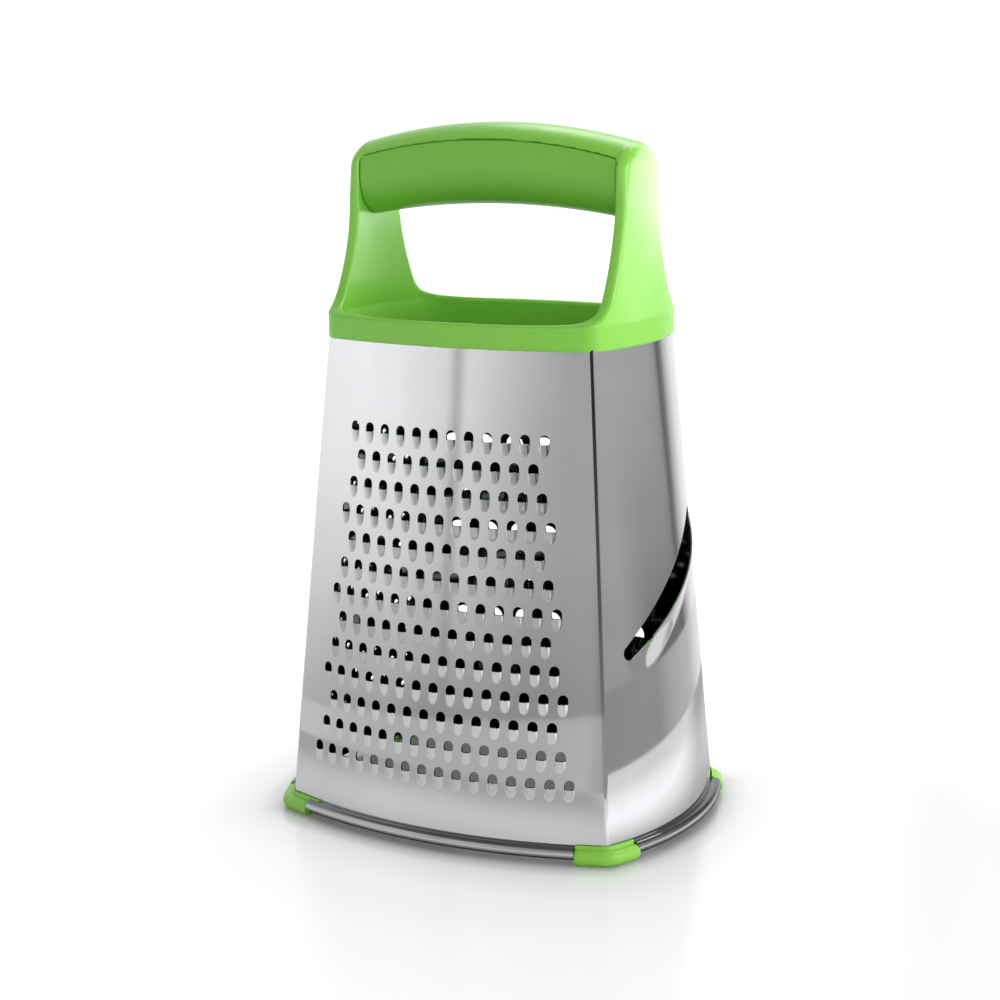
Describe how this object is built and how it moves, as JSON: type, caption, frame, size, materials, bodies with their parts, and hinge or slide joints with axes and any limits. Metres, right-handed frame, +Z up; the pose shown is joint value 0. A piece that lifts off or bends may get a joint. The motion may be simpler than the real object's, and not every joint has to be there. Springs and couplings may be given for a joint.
{
  "type": "box grater",
  "caption": "Four-sided tapered box grater with bowed steel faces, a rolled hem with corner caps, a slanted slicing slot and a moulded plastic top handle.",
  "frame": {"origin": "on the table, under the middle of the body", "axes": "+Z up, the fine grating face looks along -Y, the slicing face looks along +X"},
  "size_m": [0.1596, 0.1268, 0.2521],
  "materials": {
    "steel_front": "polished stainless steel sheet",
    "steel_rear": "polished stainless steel sheet",
    "steel_left": "polished stainless steel sheet",
    "steel_right": "polished stainless steel sheet",
    "cap_plastic": "satin moulded green plastic",
    "handle_plastic": "satin moulded light green plastic",
    "grip_plastic": "satin moulded darker green plastic"
  },
  "bodies": {
    "root": {"front_panel": "steel_front", "rear_panel": "steel_rear", "left_panel": "steel_left", "right_panel": "steel_right", "front_left_cap": "cap_plastic", "front_right_cap": "cap_plastic", "rear_left_cap": "cap_plastic", "rear_right_cap": "cap_plastic", "handle_frame": "handle_plastic", "grip_shell": "grip_plastic"}
  },
  "joints": []
}
